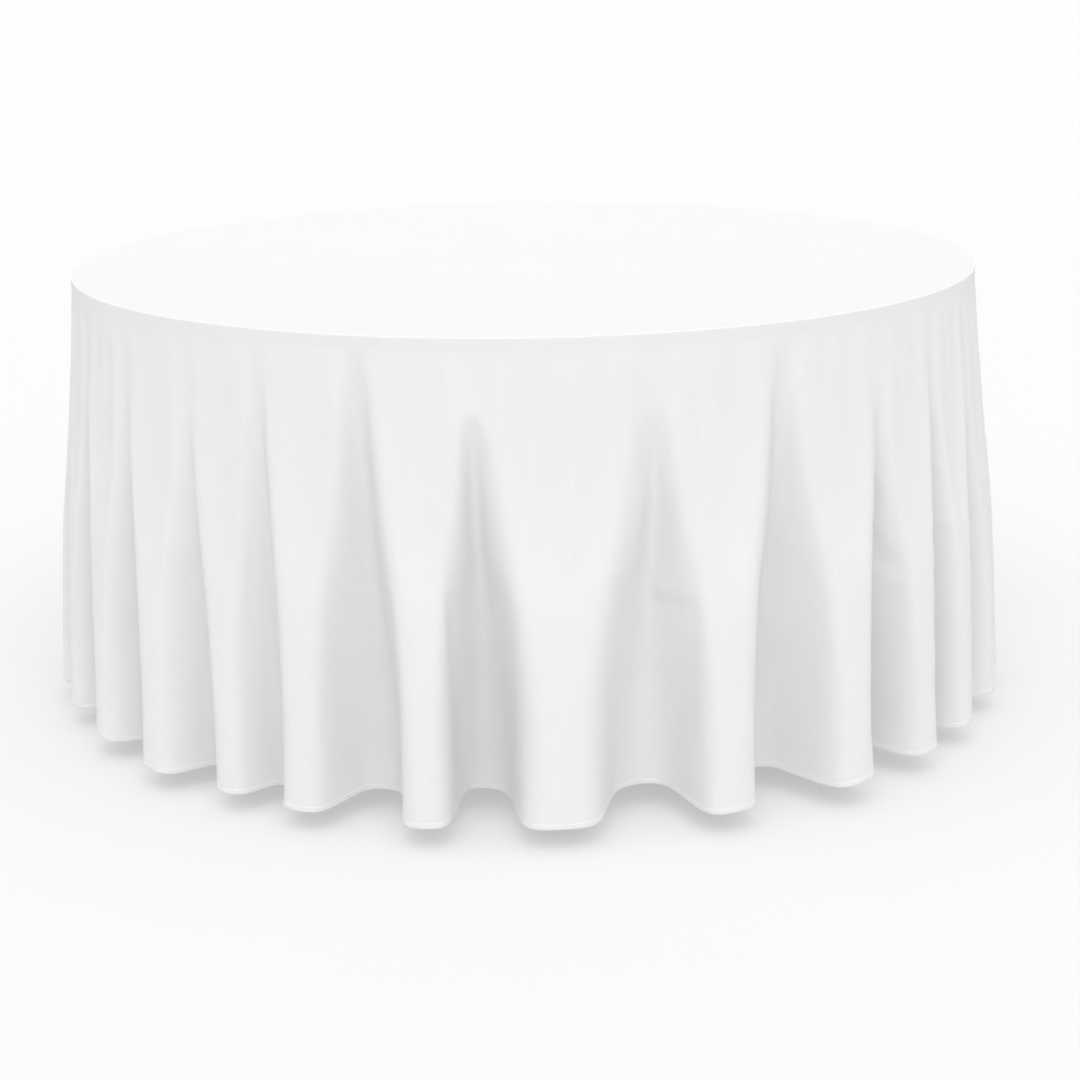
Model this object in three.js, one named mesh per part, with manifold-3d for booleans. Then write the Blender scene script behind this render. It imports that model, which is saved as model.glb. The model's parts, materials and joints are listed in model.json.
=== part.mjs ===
// A round folding table under a full-length cloth, in millimetres with +Z up.
// The origin is on the floor under the middle of the table, and the front is towards -Y.
// The two leg frames fold inwards about the hinge tubes, and each is braced by a pair of jointed stays.
import * as THREE from "three";
import { mergeVertices } from "three/addons/utils/BufferGeometryUtils.js";
import Module from "manifold-3d";

// ---- Driving dimensions ----

const GAP = 0.3; // between two pieces that bear on each other
const RUN = 0.4; // all round a pin or tube that turns in a hole

const TABLE_RADIUS = 762; // outside of the edge moulding
const TABLE_HEIGHT = 740; // top face of the board
const BOARD_THICK = 19;
const MOULDING_THICK = 3;
const MOULDING_ROUND = 2.5;
const BOARD_SIDES = 72;

const CLOTH_THICK = 2;
const CLOTH_COLUMNS = 144;
const HEM_HEIGHT = 30; // hem above the floor
const STRAIGHT_DROP = 25; // the cloth hangs straight this far below the rim before it folds

const RUNNER_LENGTH = 1200;
const RUNNER_WIDTH = 22;
const PLATE_MARGIN = 1; // runner left below the lower hinge plates
const RUNNER_BEVEL = 34; // cut off the lower corner at each end

const LEG_RADIUS = 14;
const TUBE_WALL = 1.5;
const LEG_Y = 230; // leg centres in front of and behind the middle
const HINGE_X = 450; // hinge tubes to each side of the middle
const FOOT_TO_BOARD = 4; // between the board and the upper frame's feet when it is folded
const NEST_CLEARANCE = 8; // between the legs of the two frames when both are folded
const STRETCHER_RADIUS = 11;
const STRETCHER_HEIGHT = 150;
const FOOT_WALL = 2.7;
const FOOT_FLOOR = 6;
const FOOT_HEIGHT = 32;
const FOOT_CHAMFER = 1.5;

const STAY_REACH = 350; // from the hinge to the stay's pivot on the runner, and to its rivet on the leg
const LINK_THICK = 3;
const LINK_HALF_WIDTH = 9;
const LINK_SPACING = 4; // between the two links, side by side
const LEG_TO_LINK = 2.5;
const LINK_TO_RUNNER = 3.5;
const RIVET_RADIUS = 3.5;
const HEAD_RADIUS = 6;
const HEAD_THICK = 1.2;
const PIN_GRIP = 14; // length of a stay pin inside the runner

const COLLAR_WALL = 3.1;
const COLLAR_TO_LEG = 1;
const PLATE_THICK = 3;
const PLATE_EDGE = 0.5; // plate above and below the collar
const PLATE_SCREW_OUT = 7.5; // screw holes beyond the collar
const PLATE_END = 8; // plate beyond the screw holes

const SCREW_RADIUS = 2.1;
const SCREW_HEAD_RADIUS = 4.3;
const SCREW_HEAD_THICK = 2.2;
const SCREW_POINT = 3;
const BRACKET_SCREW_LENGTH = 18;
const RUNNER_SCREW_LENGTH = 48;
const CLIP_SCREW_LENGTH = 13;
const COUNTERBORE_RADIUS = 6;
const BOARD_BITE = 12; // how far a runner screw goes into the board
const RUNNER_SCREW_X = [-330, 0, 330];

const CLIP_SIDE_PLAY = 0.6;
const CLIP_THICK = 1.5;
const CLIP_WIDTH = 30;
const CLIP_LIP = 8; // the clip's sides reach this far below the folded stretcher's centre

// The folds of the skirt, going round from the left. Each has the bearing of its crest in degrees from
// the front, half the width of that crest in degrees, how far out the crest stands at the hem, and how
// far in the valley after it lies. The last two are shares of the table's radius.
const FOLDS = [
  [-80, 2.0, 1.09, 0.94],
  [-69, 2.0, 1.08, 0.94],
  [-57, 2.0, 1.085, 0.94],
  [-45.5, 2.2, 1.098, 0.945],
  [-34, 1.8, 1.071, 0.95],
  [-24.8, 1.8, 1.077, 0.932],
  [-11, 2.7, 1.099, 0.9],
  [3.3, 3.3, 1.085, 0.91],
  [21.3, 2.75, 1.1, 0.925],
  [36.5, 2.3, 1.118, 0.93],
  [48.5, 2.0, 1.106, 0.93],
  [59, 2.0, 1.106, 0.94],
  [69.8, 2.0, 1.09, 0.94],
  [82, 2.2, 1.09, 0.93],
  [93.5, 1.9, 1.08, 0.945],
  [106.5, 2.4, 1.1, 0.925],
  [118, 1.8, 1.085, 0.94],
  [131.5, 2.7, 1.105, 0.91],
  [143, 1.9, 1.08, 0.945],
  [156, 2.3, 1.095, 0.93],
  [169, 2.1, 1.085, 0.92],
  [180.5, 2.4, 1.1, 0.935],
  [194, 2.0, 1.08, 0.92],
  [206, 2.6, 1.1, 0.935],
  [217.5, 1.9, 1.085, 0.94],
  [231, 2.5, 1.1, 0.91],
  [243, 1.9, 1.08, 0.94],
  [254.5, 2.1, 1.09, 0.935],
  [268, 2.4, 1.085, 0.925],
];

// ---- Sizes that follow ----

const BOARD_RADIUS = TABLE_RADIUS - MOULDING_THICK - GAP;
const BOARD_UNDERSIDE = TABLE_HEIGHT - BOARD_THICK;
const FOOT_SOCKET = LEG_RADIUS + GAP;
const FOOT_RADIUS = FOOT_SOCKET + FOOT_WALL;
const COLLAR_BORE = LEG_RADIUS + RUN;
const COLLAR_RADIUS = COLLAR_BORE + COLLAR_WALL;
const PLATE_HEIGHT = 2 * (COLLAR_RADIUS + PLATE_EDGE);
const PLATE_SCREW_X = COLLAR_RADIUS + PLATE_SCREW_OUT;
const PLATE_LENGTH = 2 * (PLATE_SCREW_X + PLATE_END);
const HINGE_DROP = FOOT_RADIUS + FOOT_TO_BOARD; // upper hinge tubes' centres below the board
const NEST_STEP = 2 * LEG_RADIUS + NEST_CLEARANCE; // the right frame hinges this much lower
const RUNNER_DEPTH = HINGE_DROP + NEST_STEP + PLATE_HEIGHT / 2 + PLATE_MARGIN;
const RUNNER_TOP = BOARD_UNDERSIDE - GAP;
const RUNNER_BOTTOM = RUNNER_TOP - RUNNER_DEPTH;
const LEG_FACE = LEG_Y + LEG_RADIUS;
const LOWER_LINK_IN = LEG_FACE + LEG_TO_LINK;
const LOWER_LINK_OUT = LOWER_LINK_IN + LINK_THICK;
const UPPER_LINK_IN = LOWER_LINK_OUT + LINK_SPACING;
const UPPER_LINK_OUT = UPPER_LINK_IN + LINK_THICK;
const RUNNER_FACE = UPPER_LINK_OUT + LINK_TO_RUNNER; // the inner face of each runner
const LINK_LENGTH = STAY_REACH * Math.SQRT1_2; // so that the stay is straight with the leg upright
const PLATE_IN = RUNNER_FACE - GAP - PLATE_THICK;
const HINGE_TUBE_END = PLATE_IN - 1;
const COLLAR_LENGTH = PLATE_IN - LEG_FACE - COLLAR_TO_LEG;
const PILOT_RADIUS = SCREW_RADIUS + RUN;
const RUNNER_SCREW_HEAD = BOARD_UNDERSIDE + BOARD_BITE - RUNNER_SCREW_LENGTH;

const SIDES = [
  { name: "left", out: -1, hingeZ: BOARD_UNDERSIDE - HINGE_DROP },
  { name: "right", out: 1, hingeZ: BOARD_UNDERSIDE - HINGE_DROP - NEST_STEP },
];
const ENDS = [
  { name: "front", out: -1 },
  { name: "rear", out: 1 },
];

// ---- Materials ----

const finish = (color, roughness, metalness) =>
  new THREE.MeshStandardMaterial({ color, roughness, metalness });
const whiteCloth = finish(0xf2f2f2, 0.85, 0);
const plywood = finish(0xc8a878, 0.7, 0);
const darkVinyl = finish(0x2b2724, 0.5, 0);
const pineWood = finish(0xd6b98a, 0.75, 0);
const greySteel = finish(0x5a5d60, 0.45, 0.3);
const zincSteel = finish(0xb5b8ba, 0.35, 0.9);
const blackRubber = finish(0x1d1d1d, 0.9, 0);

// ---- Shapes and cuts ----

const wasm = await Module();
wasm.setup();

function solidOf(geometry) {
  const loose = geometry.index ? geometry.toNonIndexed() : geometry;
  const bare = new THREE.BufferGeometry();
  bare.setAttribute("position", loose.getAttribute("position"));
  const merged = mergeVertices(bare, 1e-4);
  return new wasm.Manifold(
    new wasm.Mesh({
      numProp: 3,
      vertProperties: merged.attributes.position.array,
      triVerts: new Uint32Array(merged.index.array),
    }),
  );
}

function geometryOf(solid) {
  const made = solid.getMesh();
  const geometry = new THREE.BufferGeometry();
  geometry.setAttribute("position", new THREE.BufferAttribute(made.vertProperties, 3));
  geometry.setIndex(new THREE.BufferAttribute(made.triVerts, 1));
  geometry.computeVertexNormals();
  return geometry;
}

function cut(geometry, ...tools) {
  return geometryOf(tools.reduce((left, tool) => left.subtract(solidOf(tool)), solidOf(geometry)));
}

function join(first, ...others) {
  return geometryOf(others.reduce((whole, other) => whole.add(solidOf(other)), solidOf(first)));
}

// A solid of revolution about Y from [radius, height] pairs, anticlockwise from the axis or closed.
function turned(outline, sides) {
  return new THREE.LatheGeometry(
    outline.map(([radius, height]) => new THREE.Vector2(radius, height)),
    sides,
  );
}

// A rod about Y between two heights.
function rod(radius, from, to, sides = 8) {
  return new THREE.CylinderGeometry(radius, radius, to - from, sides).translate(0, (from + to) / 2, 0);
}

// An open pipe about Y between two heights.
function pipe(radius, wall, from, to, sides = 16) {
  const bore = radius - wall;
  return turned([[bore, from], [radius, from], [radius, to], [bore, to], [bore, from]], sides);
}

// The same shape standing about Z.
const upright = (geometry) => geometry.rotateX(Math.PI / 2);

const group = new THREE.Group();

function place(name, geometry, material, x = 0, y = 0, z = 0) {
  const mesh = new THREE.Mesh(geometry, material);
  mesh.name = name;
  mesh.position.set(x, y, z);
  group.add(mesh);
  return mesh;
}

// ---- Cloth ----

const degrees = THREE.MathUtils.degToRad;

// How far out the hem lies at a bearing, as a share of the table's radius: flat over each crest, with a
// smooth swing down to the valley midway to the next crest and up again.
function hemReach(bearing) {
  for (let i = 0; i < FOLDS.length; i++) {
    const [crest, half, reach, valley] = FOLDS[i];
    const [nextCrest, nextHalf, nextReach] = FOLDS[(i + 1) % FOLDS.length];
    const turn = THREE.MathUtils.euclideanModulo(bearing - crest + half, 360);
    const step = THREE.MathUtils.euclideanModulo(nextCrest - crest, 360);
    if (turn >= step - nextHalf + half) continue;
    if (turn <= 2 * half) return reach;
    const start = 2 * half;
    const middle = (start + step - nextHalf + half) / 2;
    const down = turn < middle;
    const share = Math.abs(turn - middle) / (middle - start);
    return valley + ((down ? reach : nextReach) - valley) * (0.5 - 0.5 * Math.cos(Math.PI * share));
  }
  return 1;
}

// The skirt's outline at one level, one point to a column: at every bearing it has come the same share of
// the straight way from the rim to the hem. Its inner face lies one thickness inside, square to its sides.
function skirtOutline(rim, share, inset) {
  const outer = Array.from({ length: CLOTH_COLUMNS }, (_, column) => {
    const bearing = (360 / CLOTH_COLUMNS) * column;
    const radius = rim + (hemReach(bearing) * TABLE_RADIUS - rim) * share;
    return new THREE.Vector2(Math.sin(degrees(bearing)), -Math.cos(degrees(bearing))).multiplyScalar(radius);
  });
  const sides = outer.map((point, i) => outer[(i + 1) % CLOTH_COLUMNS].clone().sub(point).normalize());
  return outer.map((point, i) => {
    const before = sides.at(i - 1);
    const along = before.clone().add(sides[i]).normalize();
    const inwards = new THREE.Vector2(-along.y, along.x);
    return point.clone().addScaledVector(inwards, inset / along.dot(before));
  });
}

function clothGeometry() {
  const under = TABLE_HEIGHT + GAP;
  const innerRim = (TABLE_RADIUS + GAP) / Math.cos(Math.PI / CLOTH_COLUMNS);
  const outerRim = innerRim + CLOTH_THICK;
  const straightEnd = TABLE_HEIGHT - STRAIGHT_DROP;
  const corner = (turn, radius) => ({
    radius: innerRim - MOULDING_ROUND + radius * Math.cos(turn),
    height: under - MOULDING_ROUND + radius * Math.sin(turn),
  });
  const turns = [90, 45, 0].map(degrees);
  const drops = [0, 0.5, 1];
  const level = (share, radius, inset) => ({
    radius,
    height: straightEnd + (HEM_HEIGHT - straightEnd) * share,
    outline: share ? skirtOutline(outerRim, share, inset) : null,
  });
  const profile = [
    { radius: 0, height: under },
    ...turns.map((turn) => corner(turn, MOULDING_ROUND)),
    ...drops.map((share) => level(share, innerRim, CLOTH_THICK)),
    ...drops.toReversed().map((share) => level(share, outerRim, 0)),
    ...turns.toReversed().map((turn) => corner(turn, MOULDING_ROUND + CLOTH_THICK)),
    { radius: 0, height: under + CLOTH_THICK },
  ];
  const rings = profile.length;
  const geometry = upright(turned(profile.map(({ radius, height }) => [radius, height]), CLOTH_COLUMNS));
  const position = geometry.getAttribute("position");
  for (let i = 0; i < position.count; i++) {
    const point = profile[i % rings].outline?.[Math.floor(i / rings) % CLOTH_COLUMNS];
    if (point) position.setXYZ(i, point.x, point.y, position.getZ(i));
  }
  // The outer half of the profile runs upwards, so its squares are split along their other diagonal,
  // and both faces of the cloth bend along the same lines.
  const corners = [];
  for (let column = 0; column < CLOTH_COLUMNS; column++) {
    for (let ring = 0; ring < rings - 1; ring++) {
      const a = column * rings + ring;
      const [b, c, d] = [a + rings, a + rings + 1, a + 1];
      corners.push(...(ring < rings / 2 ? [a, b, d, c, d, b] : [a, b, c, a, c, d]));
    }
  }
  geometry.setIndex(corners);
  return geometry;
}

place("tablecloth", clothGeometry(), whiteCloth);

// ---- Table top ----

// Where the stretcher of each frame comes to lie under the board when the frame is folded.
const foldedStretcherX = ({ out, hingeZ }) => out * (HINGE_X - (hingeZ - STRETCHER_HEIGHT));

const boardPilots = [
  ...ENDS.flatMap(({ out }) =>
    RUNNER_SCREW_X.map((x) => [x, out * (RUNNER_FACE + RUNNER_WIDTH / 2), BOARD_UNDERSIDE + BOARD_BITE]),
  ),
  ...SIDES.map((side) => [foldedStretcherX(side), 0, BOARD_UNDERSIDE - CLIP_THICK + CLIP_SCREW_LENGTH]),
];
place(
  "table_board",
  cut(
    upright(rod(BOARD_RADIUS, BOARD_UNDERSIDE, TABLE_HEIGHT, BOARD_SIDES)),
    ...boardPilots.map(([x, y, tip]) =>
      upright(rod(PILOT_RADIUS, BOARD_UNDERSIDE - 1, tip + RUN)).translate(x, y, 0),
    ),
  ),
  plywood,
);

const bandOutline = new THREE.Path();
const roundX = TABLE_RADIUS - MOULDING_ROUND;
bandOutline.moveTo(BOARD_RADIUS + GAP, BOARD_UNDERSIDE);
bandOutline.lineTo(roundX, BOARD_UNDERSIDE);
bandOutline.absarc(roundX, BOARD_UNDERSIDE + MOULDING_ROUND, MOULDING_ROUND, -Math.PI / 2, 0);
bandOutline.absarc(roundX, TABLE_HEIGHT - MOULDING_ROUND, MOULDING_ROUND, 0, Math.PI / 2);
bandOutline.lineTo(BOARD_RADIUS + GAP, TABLE_HEIGHT);
bandOutline.closePath();
place(
  "edge_moulding",
  upright(new THREE.LatheGeometry(bandOutline.getPoints(1), BOARD_SIDES)),
  darkVinyl,
);

// ---- Runners ----

// A screw about Y: its point is up, and the underside of its head is at 0.
function screwGeometry(length) {
  return turned(
    [
      [0, -SCREW_HEAD_THICK],
      [SCREW_HEAD_RADIUS * 0.7, -SCREW_HEAD_THICK],
      [SCREW_HEAD_RADIUS, -SCREW_HEAD_THICK / 2],
      [SCREW_HEAD_RADIUS, 0],
      [SCREW_RADIUS, 0],
      [SCREW_RADIUS, length - SCREW_POINT],
      [0, length],
    ],
    8,
  );
}

const bracketScrewX = SIDES.flatMap(({ out, hingeZ }) =>
  [-1, 1].map((end) => [out * HINGE_X + end * PLATE_SCREW_X, hingeZ]),
);
const stayPins = SIDES.map(({ out, hingeZ }) => [out * (HINGE_X - STAY_REACH), hingeZ]);

const runnerOutline = new THREE.Shape();
const runnerEnd = RUNNER_LENGTH / 2;
runnerOutline.moveTo(-runnerEnd + RUNNER_BEVEL, RUNNER_BOTTOM);
runnerOutline.lineTo(runnerEnd - RUNNER_BEVEL, RUNNER_BOTTOM);
runnerOutline.lineTo(runnerEnd, RUNNER_BOTTOM + RUNNER_BEVEL);
runnerOutline.lineTo(runnerEnd, RUNNER_TOP);
runnerOutline.lineTo(-runnerEnd, RUNNER_TOP);
runnerOutline.lineTo(-runnerEnd, RUNNER_BOTTOM + RUNNER_BEVEL);

for (const end of ENDS) {
  const middleY = end.out * (RUNNER_FACE + RUNNER_WIDTH / 2);
  const blank = new THREE.ExtrudeGeometry(runnerOutline, { depth: RUNNER_WIDTH, bevelEnabled: false });
  upright(blank).translate(0, middleY + RUNNER_WIDTH / 2, 0);
  const sideways = (radius, depth, x, z) => {
    const from = end.out * (RUNNER_FACE - 1);
    const to = end.out * (RUNNER_FACE + depth + RUN);
    return rod(radius, Math.min(from, to), Math.max(from, to)).translate(x, 0, z);
  };
  const holes = [
    ...RUNNER_SCREW_X.flatMap((x) => [
      upright(rod(PILOT_RADIUS, RUNNER_BOTTOM - 1, RUNNER_TOP + 1)).translate(x, middleY, 0),
      upright(rod(COUNTERBORE_RADIUS, RUNNER_BOTTOM - 1, RUNNER_SCREW_HEAD + GAP)).translate(x, middleY, 0),
    ]),
    ...bracketScrewX.map(([x, z]) => sideways(PILOT_RADIUS, BRACKET_SCREW_LENGTH - PLATE_THICK, x, z)),
    ...stayPins.map(([x, z]) => sideways(RIVET_RADIUS + GAP, PIN_GRIP, x, z)),
  ];
  place(`runner_${end.name}`, cut(blank, ...holes), pineWood);
  RUNNER_SCREW_X.forEach((x, i) => {
    const screw = upright(screwGeometry(RUNNER_SCREW_LENGTH));
    place(`runner_screw_${end.name}_${i + 1}`, screw, zincSteel, x, middleY, RUNNER_SCREW_HEAD);
  });
}

// ---- Hinge brackets ----

// A wall plate with a collar standing off it, about Y: the runner is towards +Y and the plate's inner
// face is at 0.
function bracketGeometry() {
  const plate = new THREE.BoxGeometry(PLATE_LENGTH, PLATE_THICK, PLATE_HEIGHT);
  const collar = rod(COLLAR_RADIUS, -COLLAR_LENGTH, PLATE_THICK / 2, 16);
  const bore = rod(COLLAR_BORE, -COLLAR_LENGTH - 1, 0, 16);
  const screwHoles = [-1, 1].map((end) =>
    rod(PILOT_RADIUS, -1, PLATE_THICK + 1).translate(end * PLATE_SCREW_X, 0, 0),
  );
  return cut(join(plate.translate(0, PLATE_THICK / 2, 0), collar), bore, ...screwHoles);
}

// Turns a piece made for the rear so that it faces the front.
function faceOut(mesh, end) {
  if (end.out < 0) mesh.rotation.z = Math.PI;
}

for (const side of SIDES) {
  for (const end of ENDS) {
    const at = `${side.name}_${end.name}`;
    const hingeX = side.out * HINGE_X;
    const bracket = place(
      `hinge_bracket_${at}`, bracketGeometry(), zincSteel, hingeX, end.out * PLATE_IN, side.hingeZ,
    );
    faceOut(bracket, end);
    ["inner", "outer"].forEach((where, i) => {
      const x = hingeX + side.out * (i ? 1 : -1) * PLATE_SCREW_X;
      const screw = place(
        `bracket_screw_${at}_${where}`, screwGeometry(BRACKET_SCREW_LENGTH), zincSteel,
        x, end.out * (PLATE_IN - GAP), side.hingeZ,
      );
      faceOut(screw, end);
    });
  }
}

// ---- Leg frames ----

for (const side of SIDES) {
  const hingeX = side.out * HINGE_X;
  const { hingeZ } = side;
  const hingeTube = pipe(LEG_RADIUS, TUBE_WALL, -HINGE_TUBE_END, HINGE_TUBE_END);
  place(`${side.name}_hinge_tube`, hingeTube, greySteel, hingeX, 0, hingeZ);

  for (const end of ENDS) {
    const leg = upright(pipe(LEG_RADIUS, TUBE_WALL, FOOT_FLOOR + GAP, hingeZ - 2));
    const seat = rod(LEG_RADIUS + GAP, -LEG_RADIUS - 1, LEG_RADIUS + 1, 16).translate(0, 0, hingeZ);
    place(`${side.name}_leg_${end.name}`, cut(leg, seat), greySteel, hingeX, end.out * LEG_Y, 0);

    const foot = turned(
      [
        [0, 0],
        [FOOT_RADIUS - FOOT_CHAMFER, 0],
        [FOOT_RADIUS, FOOT_CHAMFER],
        [FOOT_RADIUS, FOOT_HEIGHT - FOOT_CHAMFER],
        [FOOT_RADIUS - FOOT_CHAMFER, FOOT_HEIGHT],
        [FOOT_SOCKET, FOOT_HEIGHT],
        [FOOT_SOCKET, FOOT_FLOOR],
        [0, FOOT_FLOOR],
      ],
      16,
    );
    place(`${side.name}_foot_${end.name}`, upright(foot), blackRubber, hingeX, end.out * LEG_Y, 0);
  }

  const seatHalf = 2 * STRETCHER_RADIUS;
  const legSeats = ENDS.map(({ out }) =>
    upright(rod(LEG_RADIUS + GAP, -seatHalf, seatHalf, 16)).translate(0, out * LEG_Y, 0),
  );
  const stretcher = cut(pipe(STRETCHER_RADIUS, TUBE_WALL, -LEG_Y, LEG_Y), ...legSeats);
  const [barOnly] = solidOf(stretcher).decompose().toSorted((a, b) => b.volume() - a.volume());
  place(`${side.name}_stretcher`, geometryOf(barOnly), greySteel, hingeX, 0, STRETCHER_HEIGHT);
}

// ---- Stays ----

// A flat link with round ends, along X from its first hole, between two values of Y.
function linkGeometry(from, to) {
  const outline = new THREE.Shape();
  outline.absarc(0, 0, LINK_HALF_WIDTH, Math.PI / 2, (3 * Math.PI) / 2);
  outline.absarc(LINK_LENGTH, 0, LINK_HALF_WIDTH, -Math.PI / 2, Math.PI / 2);
  for (const x of [0, LINK_LENGTH]) {
    outline.holes.push(new THREE.Path().absarc(x, 0, RIVET_RADIUS + RUN, 0, 2 * Math.PI));
  }
  const settings = { depth: to - from, bevelEnabled: false, curveSegments: 8 };
  return new THREE.ExtrudeGeometry(outline, settings).rotateX(Math.PI / 2).translate(0, to, 0);
}

// The rivet at the elbow, with a shoulder that spaces the two links.
const elbowRivet = [
  [0, LOWER_LINK_IN - GAP - HEAD_THICK],
  [HEAD_RADIUS, LOWER_LINK_IN - GAP - HEAD_THICK],
  [HEAD_RADIUS, LOWER_LINK_IN - GAP],
  [RIVET_RADIUS, LOWER_LINK_IN - GAP],
  [RIVET_RADIUS, LOWER_LINK_OUT + GAP],
  [HEAD_RADIUS, LOWER_LINK_OUT + GAP],
  [HEAD_RADIUS, UPPER_LINK_IN - GAP],
  [RIVET_RADIUS, UPPER_LINK_IN - GAP],
  [RIVET_RADIUS, UPPER_LINK_OUT + GAP],
  [HEAD_RADIUS, UPPER_LINK_OUT + GAP],
  [HEAD_RADIUS, UPPER_LINK_OUT + GAP + HEAD_THICK],
  [0, UPPER_LINK_OUT + GAP + HEAD_THICK],
];

// The rivet at the leg, which turns with the lower link.
const legRivet = [
  [0, LEG_FACE + GAP],
  [HEAD_RADIUS - 1, LEG_FACE + GAP],
  [HEAD_RADIUS - 1, LOWER_LINK_IN - GAP],
  [RIVET_RADIUS, LOWER_LINK_IN - GAP],
  [RIVET_RADIUS, LOWER_LINK_OUT + GAP],
  [HEAD_RADIUS, LOWER_LINK_OUT + GAP],
  [HEAD_RADIUS, LOWER_LINK_OUT + GAP + HEAD_THICK],
  [0, LOWER_LINK_OUT + GAP + HEAD_THICK],
];

// The pin that holds the upper link to the runner.
const stayPin = [
  [0, UPPER_LINK_IN - GAP - HEAD_THICK],
  [HEAD_RADIUS, UPPER_LINK_IN - GAP - HEAD_THICK],
  [HEAD_RADIUS, UPPER_LINK_IN - GAP],
  [RIVET_RADIUS, UPPER_LINK_IN - GAP],
  [RIVET_RADIUS, UPPER_LINK_OUT + GAP],
  [HEAD_RADIUS - 1, UPPER_LINK_OUT + GAP],
  [HEAD_RADIUS - 1, RUNNER_FACE - GAP],
  [RIVET_RADIUS, RUNNER_FACE - GAP],
  [RIVET_RADIUS, RUNNER_FACE + PIN_GRIP],
  [0, RUNNER_FACE + PIN_GRIP],
];

for (const side of SIDES) {
  const pivotX = side.out * (HINGE_X - STAY_REACH);
  const elbowX = side.out * (HINGE_X - STAY_REACH / 2);
  const elbowZ = side.hingeZ - STAY_REACH / 2;
  const legX = side.out * HINGE_X;
  const legZ = side.hingeZ - STAY_REACH;
  const slope = side.out > 0 ? Math.PI / 4 : (3 * Math.PI) / 4;
  for (const end of ENDS) {
    const at = `${side.name}_${end.name}`;
    const span = (inner, outer) => (end.out > 0 ? [inner, outer] : [-outer, -inner]);
    const pieces = [
      [`stay_pin_${at}`, turned(stayPin, 8), pivotX, side.hingeZ],
      [`stay_elbow_rivet_${at}`, turned(elbowRivet, 8), elbowX, elbowZ],
      [`stay_leg_rivet_${at}`, turned(legRivet, 8), legX, legZ],
    ];
    for (const [name, geometry, x, z] of pieces) {
      const piece = place(name, geometry, zincSteel, x, 0, z);
      faceOut(piece, end);
    }
    const upper = linkGeometry(...span(UPPER_LINK_IN, UPPER_LINK_OUT));
    const lower = linkGeometry(...span(LOWER_LINK_IN, LOWER_LINK_OUT));
    place(`stay_upper_link_${at}`, upper, greySteel, pivotX, 0, side.hingeZ).rotation.y = slope;
    place(`stay_lower_link_${at}`, lower, greySteel, elbowX, 0, elbowZ).rotation.y = slope;
  }
}

// ---- Storage clips ----

// A channel under the board that the stretcher springs into when its frame is folded.
for (const side of SIDES) {
  const inside = STRETCHER_RADIUS + CLIP_SIDE_PLAY;
  const outside = inside + CLIP_THICK;
  const ceiling = RUNNER_TOP;
  const lip = side.hingeZ - CLIP_LIP;
  const outline = new THREE.Shape();
  outline.moveTo(-outside, lip);
  outline.lineTo(-inside, lip);
  outline.lineTo(-inside, ceiling - CLIP_THICK);
  outline.lineTo(inside, ceiling - CLIP_THICK);
  outline.lineTo(inside, lip);
  outline.lineTo(outside, lip);
  outline.lineTo(outside, ceiling);
  outline.lineTo(-outside, ceiling);
  const channel = new THREE.ExtrudeGeometry(outline, { depth: CLIP_WIDTH, bevelEnabled: false });
  upright(channel).translate(0, CLIP_WIDTH / 2, 0);
  const hole = upright(rod(PILOT_RADIUS, ceiling - CLIP_THICK - 1, ceiling + 1));
  const x = foldedStretcherX(side);
  place(`storage_clip_${side.name}`, cut(channel, hole), zincSteel, x, 0, 0);
  const screw = upright(screwGeometry(CLIP_SCREW_LENGTH));
  place(`clip_screw_${side.name}`, screw, zincSteel, x, 0, ceiling - CLIP_THICK - GAP);
}

export default group;
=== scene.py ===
# %% [markdown]
# # A full-length cloth on a round folding table
#
# The table under the cloth is already modelled as a fixed frame: a board with a vinyl edge, two runners,
# and two leg frames that fold. This script keeps those solids, gives them their finishes, and replaces
# one of them, the plain solid that stands for the cloth, with real draped fabric. It starts by loading
# the frame and reading from it every size that the cloth has to follow.

# %% The frame and its sizes
import json
import math
import time

import bpy
import numpy as np
from mathutils import Matrix, Vector


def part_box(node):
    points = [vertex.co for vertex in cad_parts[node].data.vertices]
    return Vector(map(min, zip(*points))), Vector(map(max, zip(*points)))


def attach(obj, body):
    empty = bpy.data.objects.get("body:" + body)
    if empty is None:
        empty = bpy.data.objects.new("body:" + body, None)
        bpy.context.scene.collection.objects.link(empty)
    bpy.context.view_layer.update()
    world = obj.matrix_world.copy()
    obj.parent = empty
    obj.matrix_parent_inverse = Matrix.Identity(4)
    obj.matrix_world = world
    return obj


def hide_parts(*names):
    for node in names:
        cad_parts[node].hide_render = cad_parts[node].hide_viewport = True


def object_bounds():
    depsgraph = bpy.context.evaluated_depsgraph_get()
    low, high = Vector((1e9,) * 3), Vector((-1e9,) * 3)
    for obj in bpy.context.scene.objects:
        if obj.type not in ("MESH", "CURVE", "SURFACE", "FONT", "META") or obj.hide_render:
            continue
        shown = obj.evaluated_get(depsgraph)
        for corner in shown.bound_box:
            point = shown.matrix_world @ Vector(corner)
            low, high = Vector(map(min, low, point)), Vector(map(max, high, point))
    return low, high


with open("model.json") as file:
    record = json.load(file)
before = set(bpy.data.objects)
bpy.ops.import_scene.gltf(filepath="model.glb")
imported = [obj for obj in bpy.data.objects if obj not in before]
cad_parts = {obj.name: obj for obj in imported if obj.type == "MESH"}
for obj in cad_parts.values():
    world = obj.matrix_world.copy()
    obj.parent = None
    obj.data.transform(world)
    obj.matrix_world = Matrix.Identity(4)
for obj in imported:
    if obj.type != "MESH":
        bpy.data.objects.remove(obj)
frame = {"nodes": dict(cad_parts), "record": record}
cad_low, cad_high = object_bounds()

_, board_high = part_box("table_board")
_, edge_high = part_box("edge_moulding")
TABLE_RADIUS = edge_high.x
TABLE_TOP = board_high.z
print(f"table {2 * TABLE_RADIUS:.3f} m across, {TABLE_TOP:.3f} m high")

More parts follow.
